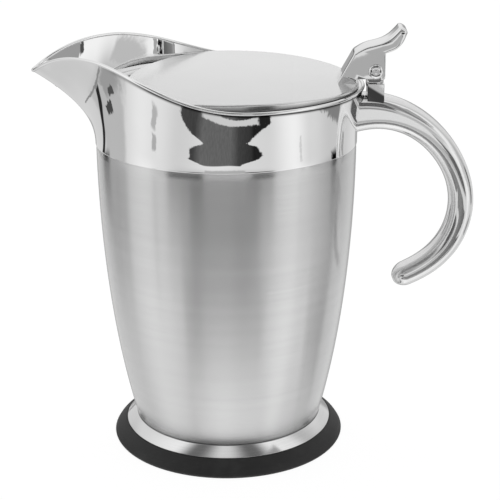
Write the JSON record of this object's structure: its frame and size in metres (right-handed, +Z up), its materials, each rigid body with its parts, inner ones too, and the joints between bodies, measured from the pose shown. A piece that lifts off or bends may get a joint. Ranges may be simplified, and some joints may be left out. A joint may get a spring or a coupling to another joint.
{
  "type": "insulated gravy boat",
  "caption": "Tall double walled steel gravy pot on a rubber foot, with a flared pouring spout, a hooked handle and a hinged lid that a thumb lever lifts.",
  "frame": {"origin": "on the body's axis, at the underside of the rubber foot", "axes": "+Z up, +X towards the handle and the hinge, -X towards the spout, +Y away from someone who looks at the pot with its spout on their left; the part is the same on both sides of the XZ plane"},
  "size_m": [0.1909, 0.1182, 0.1864],
  "materials": {
    "brushed_wall": "fine lines round the body, satin",
    "brushed_foot": "fine lines round the ring, satin",
    "base_steel": "plain satin",
    "rubber": "matte black",
    "liner_steel": "plain satin",
    "polished_collar": "mirror polished stainless steel",
    "polished_lid": "mirror polished stainless steel",
    "lid_under_steel": "plain satin",
    "polished_lever": "mirror polished stainless steel",
    "polished_handle": "mirror polished stainless steel",
    "post_steel": "satin",
    "pin_steel": "polished"
  },
  "bodies": {
    "pot": {"outer_shell": "brushed_wall", "foot_ring": "brushed_foot", "base_plate": "base_steel", "rubber_foot": "rubber", "inner_liner": "liner_steel", "spout_collar": "polished_collar", "pour_ledge": "liner_steel", "handle": "polished_handle", "hinge_post": "post_steel", "hinge_pin": "pin_steel"},
    "lid": {"lid_shell": "polished_lid", "lid_plate": "lid_under_steel", "thumb_lever": "polished_lever"}
  },
  "joints": [
    {"name": "lid_hinge", "type": "hinge", "parent": "pot", "child": "lid", "pos_m": [0.0632, 0, 0.1681], "axis": [0, 1, 0], "range_deg": [0, 80]}
  ]
}
